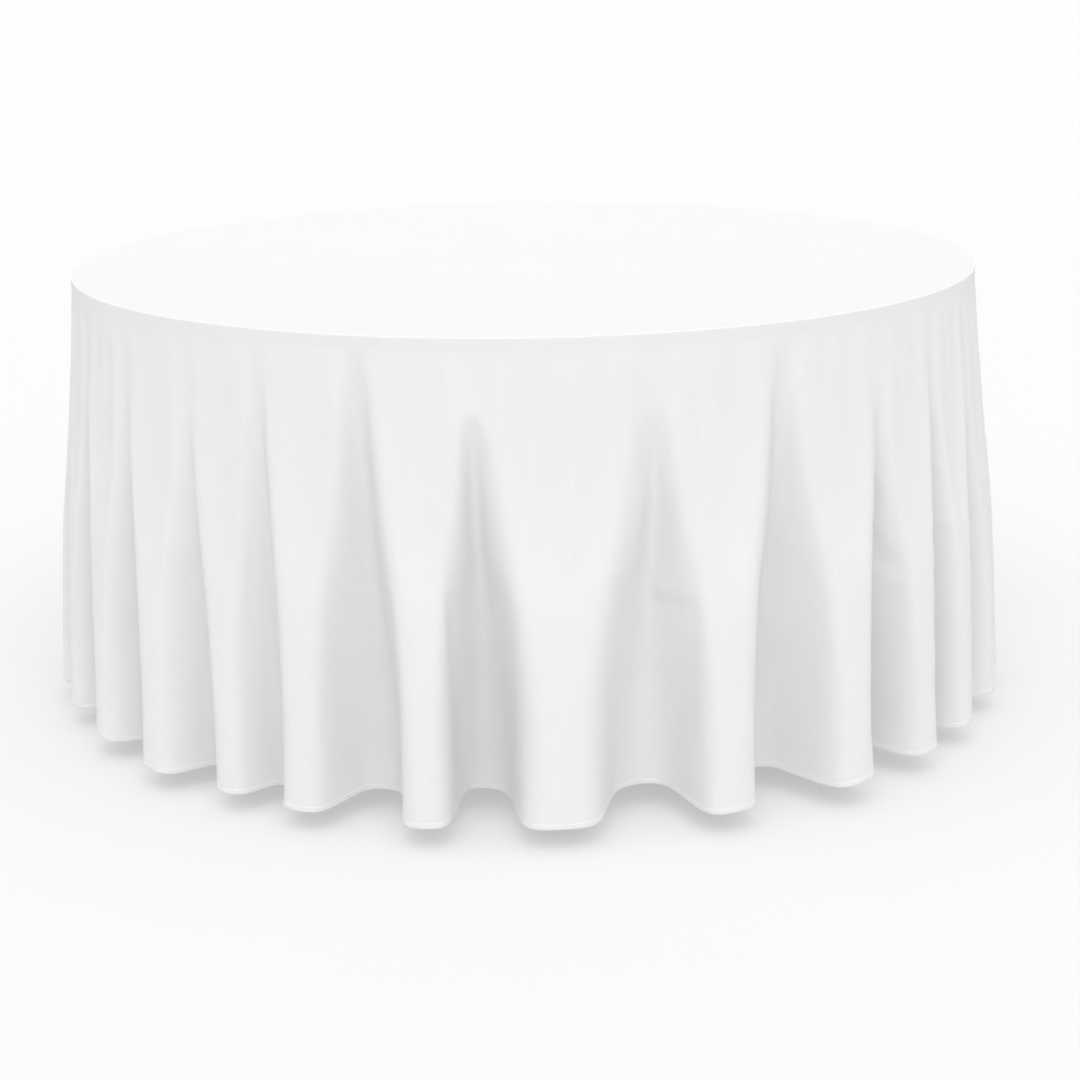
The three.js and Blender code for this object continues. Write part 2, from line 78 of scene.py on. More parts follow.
# %% [markdown]
# ## The cut of the cloth
#
# A round table is dressed with one round cut of fabric. Its radius is the table's radius plus the drop,
# here a drop that stops a few centimetres above the floor. Everything that follows works with two places
# for each point of the fabric: where it lies on the flat cut, and where it hangs. A point on the flat cut
# is given by its direction from the middle and by how far past the rim it lies.

# %% Sizes of the cut
DROP = 0.709  # fabric from the rim to the hem
CUT_RADIUS = TABLE_RADIUS + DROP
LIFT = 0.0012  # the fabric's middle surface above the board and outside its edge
RIM_ROUND = 0.001  # how sharply the fabric turns over the edge
STRAIGHT = 0.020  # it hangs straight this far, against the board's edge
CLOTH_TOP = TABLE_TOP + LIFT
CLOTH_RIM = TABLE_RADIUS + LIFT
print(f"cut {2 * CUT_RADIUS:.3f} m across, {math.pi * CUT_RADIUS ** 2:.2f} m2")

# %% [markdown]
# ## Where the folds fall
#
# A circle of hem 9.2 m round has to hang inside a ring only 5 m round, so it stands in folds, each
# swallowing about twice its width of fabric. No two folds of a real cloth are alike, so each has a line of
# its own in a list. A line gives the crest's bearing, half its width and how far out it stands, then the
# same three for the valley after it. The last number says how far down the free drop that valley starts.
# Bearings and half widths are in degrees, counted from the front, and distances are shares of the table's
# radius. The hem is a closed curve through these places. All its valleys are then moved in or out together
# until its length is the length of the cut's own edge.

# %% The folds, going round from the left
FOLDS = (
    # crest: bearing, half width, reach; then the valley after it: bearing, half width, reach, start
    (-80.5, 1.9, 1.085, -75.5, 1.2, 0.94, 0.10), (-71, 2.0, 1.075, -65, 1.3, 0.94, 0.12),
    (-59, 2.2, 1.07, -52.5, 1.4, 0.945, 0.15), (-46.3, 2.3, 1.075, -40.5, 1.2, 0.95, 0.16),
    (-35, 1.7, 1.06, -30.2, 1.0, 0.955, 0.05), (-25.1, 2.1, 1.068, -18, 2.0, 0.915, 0.01),
    (-10.9, 2.0, 1.088, -5.6, 2.0, 0.885, 0.12), (3.0, 3.3, 1.077, 13.6, 2.6, 0.905, 0.11),
    (21.2, 2.4, 1.088, 28.6, 2.2, 0.92, 0.03), (36.3, 2.3, 1.105, 42.6, 1.6, 0.93, 0.16),
    (48.8, 2.0, 1.095, 54, 1.2, 0.935, 0.12), (59.3, 2.0, 1.09, 65, 1.4, 0.94, 0.15),
    (71, 2.0, 1.09, 77, 1.4, 0.935, 0.08), (82, 2.2, 1.09, 88, 1.3, 0.93, 0.14),
    (93.5, 1.9, 1.08, 100, 1.5, 0.94, 0.20), (106.5, 2.4, 1.1, 112.5, 1.4, 0.925, 0.06),
    (118, 1.8, 1.085, 124.5, 1.6, 0.935, 0.18), (131.5, 2.7, 1.105, 137.5, 1.3, 0.91, 0.08),
    (143, 1.9, 1.08, 149.5, 1.5, 0.94, 0.22), (156, 2.3, 1.095, 162.5, 1.5, 0.93, 0.10),
    (169, 2.1, 1.085, 175, 1.4, 0.925, 0.16), (180.5, 2.4, 1.1, 187.5, 1.8, 0.93, 0.05),
    (194, 2.0, 1.08, 200, 1.4, 0.92, 0.20), (206, 2.6, 1.1, 212, 1.3, 0.935, 0.12),
    (217.5, 1.9, 1.085, 224.5, 1.7, 0.935, 0.07), (231, 2.5, 1.1, 237, 1.4, 0.915, 0.18),
    (243, 1.9, 1.08, 248.5, 1.2, 0.94, 0.10), (254.5, 2.1, 1.09, 261, 1.6, 0.93, 0.15),
    (268, 2.4, 1.085, 274, 1.3, 0.93, 0.08),
)
SHOULDER = 0.010  # how much further in the ends of a crest lie than its middle
print(len(FOLDS), "folds")


# %% Curves seen from above
def around(bearing, radius):
    """A place in plan, from a bearing in degrees from the front and a distance from the middle."""
    turn = np.radians(bearing)
    return np.stack([radius * np.sin(turn), -radius * np.cos(turn)], axis=-1)


def smooth_loop(points, steps=24):
    """A closed curve through the points, with knots spaced by the square root of their distance."""
    before, after, beyond = (np.roll(points, shift, axis=0) for shift in (1, -1, -2))
    knots = [np.zeros(len(points))]
    for start, end in ((before, points), (points, after), (after, beyond)):
        knots.append(knots[-1] + np.sqrt(np.linalg.norm(end - start, axis=1)))
    stretch = np.linspace(0, 1, steps, endpoint=False)
    place = knots[1][:, None] + (knots[2] - knots[1])[:, None] * stretch

    def blend(one, other, low, high):
        share = ((place - knots[low][:, None]) / (knots[high] - knots[low])[:, None])[..., None]
        return one * (1 - share) + other * share

    near = [p[:, None, :] for p in (before, points, after, beyond)]
    first = blend(near[0], near[1], 0, 1)
    middle = blend(near[1], near[2], 1, 2)
    last = blend(near[2], near[3], 2, 3)
    return blend(blend(first, middle, 0, 2), blend(middle, last, 1, 3), 1, 2).reshape(-1, 2)


def loop_length(points):
    return np.linalg.norm(np.roll(points, -1, axis=0) - points, axis=1).sum()


# %% The hem seen from above
def halfway_search(low, high, goes_higher, halvings):
    """Closes in on the value up to which goes_higher holds, by trying the middle again and again."""
    for _ in range(halvings):
        middle = (low + high) / 2
        if goes_higher(middle):
            low = middle
        else:
            high = middle
    return middle


def hem_loop(ease):
    """The hem seen from above. Ease moves every valley in or out, as a share of the table's radius."""
    marks = []
    for crest, half, reach, valley, valley_half, valley_reach, _ in FOLDS:
        eased_reach = valley_reach + ease
        marks += [
            (crest - half, reach - SHOULDER), (crest, reach), (crest + half, reach - SHOULDER),
            (valley - valley_half, eased_reach), (valley + valley_half, eased_reach),
        ]
    marks = np.array(marks)
    return smooth_loop(around(marks[:, 0], marks[:, 1] * TABLE_RADIUS))


MOST_EASE = 0.05
CUT_EDGE = 2 * math.pi * CUT_RADIUS
ease = halfway_search(
    -MOST_EASE, MOST_EASE, lambda tried: loop_length(hem_loop(tried)) > CUT_EDGE, halvings=20
)
hem_plan = hem_loop(ease)
print(f"valleys eased by {1000 * ease * TABLE_RADIUS:.0f} mm, hem {loop_length(hem_plan):.3f} m long")

# %% [markdown]
# ## Draping the skirt
#
# The skirt is a grid of threads that run round and down. Its form is arranged level by level: each level
# has an outline, round near the rim and equal to the folded curve at the hem. A valley begins as a narrow
# wedge and widens on its way down. How deep the valleys swing follows from the length of fabric that the
# round cut has at that level, and how far each thread drops follows from its own length. Only then does a
# short cloth simulation let the sheet sag and even out. It takes the arranged shape as its rest shape. The
# first rows lie against the board's edge and are pinned, and the lower part of the folds is held lightly.

# %% The grid of threads
COLUMNS = 16 * len(FOLDS)
ROWS_BELOW = 38
CROWDING = 1.15  # over 1, the rows lie closer together near the rim
NEAR_RIM = np.array([0.0, 0.006, 0.013])  # rows on the straight part, by their distance below the rim
below = STRAIGHT + (DROP - STRAIGHT) * np.linspace(0, 1, ROWS_BELOW) ** CROWDING
DOWN = np.concatenate([NEAR_RIM, below])
ROWS = len(DOWN)
PINNED_ROWS = len(NEAR_RIM) + 1
print(f"{ROWS} rows of {COLUMNS} threads")

# %% How a fold changes on its way down
NARROWEST = 0.22  # a valley's width where it opens, as a share of the room between two crests
WIDENING = 0.9  # under 1, a valley widens quickly below its top
DEEPENING = 0.95  # under 1, a valley deepens quickly below its top
TAKING_OVER = 2  # over 1, the wedge keeps its form for longer before the hem's own curve takes over
MOST_SWING = 1.15  # a valley is never deeper than this, next to its depth at the hem
EASED = 1.2  # over 1, the weave takes up some of the fullness near the rim
BELLY = 0.45  # how much sooner the crests lean out below the rim than a straight line to the hem

# %% Each point of the hem, told by its fold
plan_bearing = np.degrees(np.unwrap(np.arctan2(hem_plan[:, 0], -hem_plan[:, 1])))
plan_reach = np.hypot(hem_plan[:, 0], hem_plan[:, 1])

crests, crest_reach, valleys, valley_reach, valley_starts = np.array(FOLDS)[:, (0, 2, 3, 5, 6)].T
crest_line = TABLE_RADIUS * np.interp(plan_bearing, crests, crest_reach, period=360)
valley_line = TABLE_RADIUS * (np.interp(plan_bearing, valleys, valley_reach, period=360) + ease)
depth = crest_line - valley_line
hem_valley = np.clip((crest_line - plan_reach) / depth, 0, None)
after = np.searchsorted(crests, plan_bearing)
fold = after - 1
opens_at = valley_starts[fold]
from_valley = (plan_bearing - valleys[fold] + 180) % 360 - 180
gap_before = (valleys[fold] - crests[fold]) % 360
gap_after = (crests[after % len(FOLDS)] - valleys[fold]) % 360
aside = np.abs(from_valley) / np.where(from_valley < 0, gap_before, gap_after)
print(f"valleys open {valley_starts.min():.0%} to {valley_starts.max():.0%} of the way down, "
      f"and are up to {1000 * depth.max():.0f} mm deep")


# %% The outline at each level
def level_loop(free, swing):
    """The skirt's outline at a share of the free drop. Swing sets how deep its valleys go."""
    opened = np.clip((free - opens_at) / (1 - opens_at), 0, 1)
    width = NARROWEST + (1 - NARROWEST) * opened ** WIDENING
    wedge = 0.5 + 0.5 * np.cos(math.pi * np.clip(aside / width, 0, 1))
    valley = wedge + (hem_valley - wedge) * opened ** TAKING_OVER
    crest = CLOTH_RIM + free * (1 + BELLY * (1 - free)) * (crest_line - CLOTH_RIM)
    return around(plan_bearing, crest - valley * depth * opened ** DEEPENING * swing)


def swing_for(free, length):
    """How deep the valleys have to swing at a level for its outline to be as long as the fabric there."""
    return halfway_search(
        0.0, MOST_SWING, lambda swing: loop_length(level_loop(free, swing)) <= length, halvings=24
    )


# %% Where the threads cross each level
FIRST_THREAD = 2.0  # degrees from the start of the first fold to the first thread at the rim
SHIFTING_ROUNDS = 4


def threads_on(loop, mean_lead):
    """Where the threads cross an outline: evenly along it, as far round on average as at the rim."""
    steps = np.linalg.norm(np.diff(loop, axis=0, append=loop[:1]), axis=1)
    lengths = np.concatenate([[0], np.cumsum(steps)])
    bearings = np.append(plan_bearing, plan_bearing[0] + 360)
    reaches = np.append(np.hypot(loop[:, 0], loop[:, 1]), np.hypot(*loop[0]))
    even = np.arange(COLUMNS) / COLUMNS
    shift = 0.0
    for _ in range(SHIFTING_ROUNDS):
        places = (even + shift) * lengths[-1]
        turns = np.floor(places / lengths[-1])
        bearing = np.interp(places % lengths[-1], lengths, bearings) + 360 * turns
        shift += (mean_lead - (bearing - 360 * even).mean()) / 360
    return around(bearing, np.interp(places % lengths[-1], lengths, reaches)), bearing


mean_lead = float(plan_bearing[0]) + FIRST_THREAD
thread_bearing = 360 * np.arange(COLUMNS) / COLUMNS + mean_lead
rows_xy = []
for down in DOWN:
    free = max(down - STRAIGHT, 0) / (DROP - STRAIGHT)
    around_length = 2 * math.pi * (CLOTH_RIM + free ** EASED * (CUT_RADIUS - CLOTH_RIM))
    row_xy, row_bearing = threads_on(level_loop(free, swing_for(free, around_length)), mean_lead)
    rows_xy.append(row_xy)
hung_xy = np.stack(rows_xy)
print(f"at the hem the threads lead and lag by {np.ptp(row_bearing - thread_bearing):.1f} degrees in all")

# %% Hanging the threads
sideways = np.linalg.norm(np.diff(hung_xy, axis=0), axis=-1)
drops = np.sqrt(np.maximum(np.diff(DOWN)[:, None] ** 2 - sideways ** 2, 0))
hung_z = CLOTH_TOP - RIM_ROUND - np.concatenate([np.zeros((1, COLUMNS)), np.cumsum(drops, axis=0)])
hung = np.concatenate([hung_xy, hung_z[..., None]], axis=-1)
print(f"arranged, the hem is {1000 * hung_z[-1].min():.0f} to {1000 * hung_z[-1].max():.0f} mm off the floor")


# %% Making a mesh from a grid
def grid_faces(rows, columns, first=0):
    """Square faces between the rows of a grid that closes on itself sideways."""
    index = first + np.arange(rows * columns).reshape(rows, columns)
    beside = np.roll(index, -1, axis=1)
    return np.stack([index[:-1], index[1:], beside[1:], beside[:-1]], axis=-1).reshape(-1, 4)


def mesh_piece(name, points, faces):
    places = np.asarray(points, dtype=float).reshape(-1, 3).tolist()
    mesh = bpy.data.meshes.new(name)
    mesh.from_pydata(places, [], [list(face) for face in faces])
    mesh.polygons.foreach_set("use_smooth", [True] * len(mesh.polygons))
    mesh.update()
    piece = bpy.data.objects.new(name, mesh)
    bpy.context.collection.objects.link(piece)
    return piece


# %% [markdown]
# The fabric is a plain polyester, light and rather crisp: it resists stretching far more than bending. The
# simulation starts from a shape that is nearly in balance, so thirty frames settle it. The solver holds a
# point as firmly as its weight in one vertex group says: wholly in the first rows, not at all in the
# middle, and more and more firmly from there to the hem.

# %% The cloth simulation
SETTLE_FRAMES = 30
FABRIC = {
    # the solver's own names and units; the stiffnesses say how hard it is to stretch, shear and bend
    "quality": 6, "mass": 0.3, "air_damping": 2,
    "tension_stiffness": 40, "compression_stiffness": 40, "shear_stiffness": 10, "bending_stiffness": 2,
}
ARRANGED_FROM = 0.45  # below this share of the drop, the folds are held where they were arranged
ARRANGED_GRIP = 0.8  # how firmly they are held at the hem
GRIP_GROWTH = 0.5  # under 1, the grip grows quickly below its start


def settle(start):
    """Hangs the grid by its first rows and returns where its points come to rest."""
    skirt = mesh_piece("settling_skirt", start, grid_faces(ROWS, COLUMNS))
    held = skirt.vertex_groups.new(name="held")
    for row in range(ROWS):
        lower = (DOWN[row] / DROP - ARRANGED_FROM) / (1 - ARRANGED_FROM)
        grip = 1.0 if row < PINNED_ROWS else ARRANGED_GRIP * max(lower, 0) ** GRIP_GROWTH
        if grip > 0:
            held.add(list(range(row * COLUMNS, (row + 1) * COLUMNS)), grip, "REPLACE")
    cloth = skirt.modifiers.new("Cloth", "CLOTH")
    for name, value in FABRIC.items():
        setattr(cloth.settings, name, value)
    cloth.settings.vertex_group_mass = "held"
    cloth.collision_settings.use_collision = False
    cloth.collision_settings.use_self_collision = False
    cloth.point_cache.frame_end = SETTLE_FRAMES
    for step in range(1, SETTLE_FRAMES + 1):
        bpy.context.scene.frame_set(step)
    settled = skirt.evaluated_get(bpy.context.evaluated_depsgraph_get())
    places = np.empty(3 * ROWS * COLUMNS)
    settled.data.vertices.foreach_get("co", places)
    bpy.data.objects.remove(skirt)
    bpy.context.scene.frame_set(1)
    return places.reshape(ROWS, COLUMNS, 3)


started = time.time()
skirt_points = settle(hung)
hem_reach = np.hypot(skirt_points[-1, :, 0], skirt_points[-1, :, 1]) / TABLE_RADIUS
hem_height = 1000 * skirt_points[-1, :, 2]
print(f"skirt settled in {time.time() - started:.0f} s; "
      f"hem {hem_height.min():.0f} to {hem_height.max():.0f} mm off the floor, "
      f"{hem_reach.min():.3f} to {hem_reach.max():.3f} of the table's radius out")

# %% [markdown]
# ## Refining the skirt and laying the top
#
# The solver's grid is coarse, about 20 mm at the hem. Each refining step puts a new point between two old
# ones, on the smooth curve through their neighbours, so the old points stay where the solver left them.
# The top is then added as rings that run inwards from the rim. A ring needs fewer points the closer it is
# to the middle, so the count halves from time to time.


# %% Refining a grid
def midpoints(points, axis, closed):
    """Points halfway between neighbours along an axis, on the curve through the four nearest."""
    if closed:
        ring = [np.roll(points, shift, axis) for shift in (1, 0, -1, -2)]
    else:
        inside = np.moveaxis(points, axis, 0)
        first, last = 2 * inside[:1] - inside[1:2], 2 * inside[-1:] - inside[-2:-1]
        padded = np.moveaxis(np.concatenate([first, inside, last]), 0, axis)
        count = points.shape[axis]
        ring = [np.take(padded, range(i, i + count - 1), axis) for i in range(4)]
    return (9 * (ring[1] + ring[2]) - ring[0] - ring[3]) / 16


def refined(points, axis, closed):
    between = np.moveaxis(midpoints(points, axis, closed), axis, 0)
    whole = np.moveaxis(points, axis, 0)
    result = np.empty((len(whole) + len(between),) + whole.shape[1:])
    result[0::2], result[1::2] = whole, between
    return np.moveaxis(result, 0, axis)


fine = refined(refined(skirt_points, 1, True), 0, False)
fine_columns = fine.shape[1]
fine_bearing = thread_bearing[0] + 360 * np.arange(fine_columns) / fine_columns
fine_down = refined(DOWN[:, None], 0, False)[:, 0]
fine_flat = around(fine_bearing[None, :], TABLE_RADIUS + fine_down[:, None])
print("skirt refined to", fine.shape[:2])

# %% The top, ring by ring
TOP_RINGS = (
    # share of the rim's radius, halvings of the point count
    (0.995, 0), (0.985, 0), (0.95, 0), (0.88, 1), (0.78, 1), (0.66, 2), (0.52, 2), (0.38, 3), (0.26, 3),
    (0.15, 4), (0.06, 4),
)
EDGE_TURNS = (30, 60, 90)  # steps of the turn over the edge, in degrees up from the outside

cloth_points, cloth_flat = [fine.reshape(-1, 3)], [fine_flat.reshape(-1, 2)]
cloth_faces = grid_faces(fine.shape[0], fine_columns).tolist()


def add_ring(radius, height, flat_radius, halvings):
    """Adds one ring of points and joins it to the ring outside it."""
    outer_first, outer_count = add_ring.last
    count = fine_columns >> halvings
    bearing = fine_bearing[0] + 360 * np.arange(count) / count
    first = sum(len(points) for points in cloth_points)
    cloth_points.append(np.column_stack([around(bearing, radius), np.full(count, height)]))
    cloth_flat.append(around(bearing, flat_radius))
    for i in range(count):
        here, beside = first + i, first + (i + 1) % count
        if count == outer_count:
            out, out_beside = outer_first + i, outer_first + (i + 1) % count
            cloth_faces.append([here, out, out_beside, beside])
        else:
            out = [outer_first + (2 * i + step) % outer_count for step in range(3)]
            cloth_faces.extend([
                [here, out[0], out[1]], [here, out[1], beside], [beside, out[1], out[2]],
            ])
    add_ring.last = (first, count)


# %% From the edge to the middle
add_ring.last = (0, fine_columns)
for turn in EDGE_TURNS:
    inwards, upwards = 1 - math.cos(math.radians(turn)), math.sin(math.radians(turn))
    add_ring(CLOTH_RIM - RIM_ROUND * inwards, CLOTH_TOP - RIM_ROUND * (1 - upwards), TABLE_RADIUS, 0)
for share, halvings in TOP_RINGS:
    add_ring(share * CLOTH_RIM, CLOTH_TOP, share * CLOTH_RIM, halvings)
middle = sum(len(points) for points in cloth_points)
cloth_points.append(np.array([[0, 0, CLOTH_TOP]]))
cloth_flat.append(np.zeros((1, 2)))
last_first, last_count = add_ring.last
cloth_faces += [[middle, last_first + i, last_first + (i + 1) % last_count] for i in range(last_count)]

drape = mesh_piece("draped_cloth", np.concatenate(cloth_points), cloth_faces)
print(f"cloth has {len(drape.data.vertices)} points, {len(drape.data.polygons)} faces")


# %% Marking where each point lies on the flat cut
def mark_flat_places(piece, places):
    """Gives each point its place on the flat cut, for the weave to follow."""
    marks = piece.data.attributes.new("flat_place", "FLOAT_VECTOR", "POINT")
    marks.data.foreach_set("vector", np.column_stack([places, np.zeros(len(places))]).reshape(-1))


mark_flat_places(drape, np.concatenate(cloth_flat))
print("flat places marked on", drape.name)

# %% [markdown]
# ## The hem and its stitches
#
# The raw edge is turned under twice and run through a sewing machine: a narrow band, three layers thick,
# with a line of stitches near its upper edge. The band is built as a flattened loop that wraps the
# edge of the fabric, and each stitch as a small bead of thread that dips in at both ends.

# %% Directions on the skirt near the hem
HEM_WIDTH = 0.008
HEM_HALF_THICK = 0.0006
STITCH_UP = 0.0062  # from the edge up to the stitches
STITCH_PITCH = 0.003  # from one stitch to the next
STITCH_LENGTH = 0.0025
THREAD_RADIUS = 0.00022

edge = fine[-1]
down_step = fine[-1] - fine[-2]
down_way = down_step / np.linalg.norm(down_step, axis=1, keepdims=True)
side_step = np.roll(edge, -1, axis=0) - np.roll(edge, 1, axis=0)
side_way = side_step / np.linalg.norm(side_step, axis=1, keepdims=True)
out_way = np.cross(down_way, side_way)
out_way /= np.linalg.norm(out_way, axis=1, keepdims=True)
print("share of the hem's normals that point outwards:",
      round(float((np.einsum("ij,ij->i", out_way[:, :2], edge[:, :2]) > 0).mean()), 2))

# %% The hem band
BAND_OUTLINE = (
    # shares of the half thickness outwards and of the width upwards
    (0.6, 1.0), (1.0, 0.85), (1.0, 0.5), (1.0, 0.15), (0.7, -0.03), (0.0, -0.1),
    (-0.7, -0.03), (-1.0, 0.15), (-1.0, 0.5), (-1.0, 0.85), (-0.6, 1.0),
)
band = np.stack([
    edge + out_way * HEM_HALF_THICK * out - down_way * HEM_WIDTH * up for out, up in BAND_OUTLINE
])
band_rows = len(BAND_OUTLINE)
band_faces = grid_faces(band_rows, fine_columns).tolist()
here = np.arange(fine_columns)  # the first row of the outline, which the last row is joined to
beside = np.roll(here, -1)
last_row = (band_rows - 1) * fine_columns
band_faces += np.stack([last_row + here, here, beside, last_row + beside], axis=-1).tolist()
hem = mesh_piece("turned_hem", band, band_faces)
band_up = np.array(BAND_OUTLINE)[:, 1, None]
mark_flat_places(hem, around(fine_bearing[None, :], CUT_RADIUS - HEM_WIDTH * band_up).reshape(-1, 2))
print(f"hem band of {len(band_faces)} faces")

# %% The line of stitches
line = edge - down_way * STITCH_UP
line_steps = np.linalg.norm(np.roll(line, -1, axis=0) - line, axis=1)
line_lengths = np.concatenate([[0], np.cumsum(line_steps)])
stitch_count = int(line_lengths[-1] / STITCH_PITCH)
stitch_starts = np.arange(stitch_count) * line_lengths[-1] / stitch_count
stitch_middles = stitch_starts + STITCH_LENGTH / 2


def along_line(values, places):
    """What the values given along the closed line are at some distances along it."""
    closed = np.concatenate([values, values[:1]])
    places = places % line_lengths[-1]
    return np.stack([np.interp(places, line_lengths, closed[:, axis]) for axis in range(3)], axis=-1)


# %% The stitches themselves
CROWN = 1.2  # how far a stitch's back stands out, in radii of its thread
BEAD_POINTS = 6  # both ends, then the back, the upper side, the belly and the lower side
BEAD_FACES = [(0, 2, 3), (0, 3, 4), (0, 4, 5), (0, 5, 2), (1, 3, 2), (1, 4, 3), (1, 5, 4), (1, 2, 5)]

stitch_out = along_line(out_way, stitch_middles)
stitch_up = along_line(-down_way, stitch_middles)
middle_place = along_line(line, stitch_middles)
dipped = stitch_out * (HEM_HALF_THICK - THREAD_RADIUS)
on_hem = stitch_out * HEM_HALF_THICK
bead = [
    along_line(line, stitch_starts) + dipped,
    along_line(line, stitch_starts + STITCH_LENGTH) + dipped,
    middle_place + stitch_out * (HEM_HALF_THICK + CROWN * THREAD_RADIUS),
    middle_place + stitch_up * THREAD_RADIUS + on_hem,
    middle_place - stitch_out * (THREAD_RADIUS - HEM_HALF_THICK),
    middle_place - stitch_up * THREAD_RADIUS + on_hem,
]
stitch_points = np.stack(bead, axis=1).reshape(-1, 3)
first_points = np.arange(stitch_count)[:, None, None] * BEAD_POINTS
stitch_faces = (first_points + np.array(BEAD_FACES)[None]).reshape(-1, 3)
stitches = mesh_piece("hem_stitches", stitch_points, stitch_faces.tolist())
print(stitch_count, "stitches")

# %% [markdown]
# ## A small workshop for finishes
#
# A finish is a tree of shader nodes. Written out node by node it is unreadable, so two helpers are used.
# `Amount` wraps one output socket and lets sums be written as sums: `1 - mask` adds the Math node for it.
# `Finish` holds the tree, and its `node` method makes any other node from its type, its settings and what
# goes into its sockets.


# %% Amounts and finishes
class Amount:
    """One output socket of a finish, with the arithmetic that the finishes use."""

    def __init__(self, finish, socket):
        self.finish, self.socket = finish, socket

    def _sum(self, operation, first, second):
        return self.finish.node("ShaderNodeMath", {0: first, 1: second}, operation=operation)

    def beside(self, output):
        """Another output of the node that this one comes from."""
        return Amount(self.finish, self.socket.node.outputs[output])

    def __add__(self, other):
        return self._sum("ADD", self, other)

    __radd__ = __add__

    def __sub__(self, other):
        return self._sum("SUBTRACT", self, other)

    def __rsub__(self, other):
        return self._sum("SUBTRACT", other, self)

    def __mul__(self, other):
        return self._sum("MULTIPLY", self, other)

    __rmul__ = __mul__


class Finish:
    """The node tree of one finish, on a Principled shader."""

    def __init__(self, name, roughness=0.5, **constants):
        self.material = bpy.data.materials.new(name)
        self.material.use_nodes = True
        self.nodes, self.links = self.material.node_tree.nodes, self.material.node_tree.links
        self.shader = self.nodes["Principled BSDF"]
        self.put("Roughness", roughness)
        for socket, value in constants.items():
            self.put(socket.replace("_", " ").title(), value)

    def feed(self, socket, value):
        """Links an amount to a socket, or sets a number or a colour on it."""
        if isinstance(value, Amount):
            self.links.new(value.socket, socket)
        elif hasattr(value, "__len__") and len(value) == 3 and socket.type == "RGBA":
            socket.default_value = (*value, 1)
        else:
            socket.default_value = value

    def put(self, socket, value):
        self.feed(self.shader.inputs[socket], value)

    def node(self, kind, sockets=None, output=0, stops=None, **settings):
        """Adds a node: its settings and a ramp's stops first, then what goes into its sockets."""
        made = self.nodes.new(kind)
        for name, value in settings.items():
            setattr(made, name, value)
        for stop, (place, colour) in zip(made.color_ramp.elements if stops else (), stops or ()):
            stop.position = place
            stop.color = (*colour, 1) if hasattr(colour, "__len__") else (colour, colour, colour, 1)
        for socket, value in (sockets or {}).items():
            self.feed(made.inputs[socket], value)
        return Amount(self, made.outputs[output])

    def place(self):
        """Where a point is, in metres."""
        return self.node("ShaderNodeTexCoord", output="Object")

    def scaled(self, vector, by):
        return self.node("ShaderNodeVectorMath", {0: vector, 1: by}, operation="MULTIPLY")

    def noise(self, vector, scale, detail=2.0, roughness=0.5):
        sockets = {"Vector": vector, "Scale": scale, "Detail": detail, "Roughness": roughness}
        return self.node("ShaderNodeTexNoise", sockets)

    def ramp(self, amount, *stops):
        """A run of greys or colours between two stops."""
        return self.node("ShaderNodeValToRGB", {0: amount}, stops=stops)

    def mix(self, factor, one, other):
        return self.node("ShaderNodeMix", {0: factor, 6: one, 7: other}, output=2, data_type="RGBA")

    def bump(self, height, distance):
        """Relief of a height between 0 and 1, by the distance in metres that 1 stands for."""
        sockets = {"Height": height, "Distance": distance, "Strength": 1.0}
        self.put("Normal", self.node("ShaderNodeBump", sockets))

    def on(self, *pieces):
        for piece in pieces:
            piece.data.materials.clear()
            piece.data.materials.append(self.material)
        return self


# %% [markdown]
# ## White polyester
#
# The cloth is a plain weave of spun polyester, bleached white. Close to, it shows a fine grid of
# threads. From further off only the slubs show, as faint streaks that run along the warp and the weft. Both
# have to follow the flat cut and not the room, or they would swim over the folds, so they are drawn on the
# `flat_place` that each point carries. The fibres' fuzz gives a weak sheen at grazing angles.

# %% The fabric's finish
THREAD_PITCH = 0.0007
WEAVE_DEPTH = 0.0002
SLUBS = 260.0  # across the threads, per metre
SLUB_SQUEEZE = 0.035  # the noise is squeezed this much along the threads, so a slub is long and thin
WARP_SHARE = 0.7  # how much of the slubs run along the warp
CLOUDS = 3.0  # broad uneven places, per metre
CLOUD_SHARE = 0.3
DEEPEST = 0.975  # the darkest tone, as a share of the palest
WHITE = 0.745


def streaks(finish, cut, along):
    """Slubs that run along one set of threads: 0 for the weft, 1 for the warp."""
    squeeze = [1.0, 1.0, 1.0]
    squeeze[along] = SLUB_SQUEEZE
    return finish.noise(finish.scaled(cut, squeeze), SLUBS, detail=3)


def woven(name, tint, **constants):
    """A plain weave drawn on the flat cut: threads as relief, slubs and clouds as tone."""
    finish = Finish(name, **constants)
    cut = finish.node("ShaderNodeAttribute", output="Vector", attribute_name="flat_place")
    turns = finish.scaled(cut, (2 * math.pi / THREAD_PITCH,) * 3)
    waves = finish.node("ShaderNodeVectorMath", {0: turns}, operation="SINE")
    across = finish.node("ShaderNodeSeparateXYZ", {0: waves}, output="X")
    down = across.beside("Y")
    slubs = streaks(finish, cut, 0) * (1 - WARP_SHARE) + streaks(finish, cut, 1) * WARP_SHARE
    clouds = finish.noise(cut, CLOUDS, detail=2)
    tone = slubs * (1 - CLOUD_SHARE) + clouds * CLOUD_SHARE
    deep = tuple(DEEPEST * c for c in tint)
    finish.put("Base Color", finish.ramp(tone, (0.36, deep), (0.62, tint)))
    finish.put("Roughness", 0.72 + 0.16 * slubs)
    finish.bump(across * down * 0.5 + slubs * 0.5, WEAVE_DEPTH)
    return finish


white_polyester = woven("white_polyester", (WHITE, WHITE, WHITE), sheen_weight=0.45, sheen_roughness=0.4)
white_polyester.on(drape, hem)

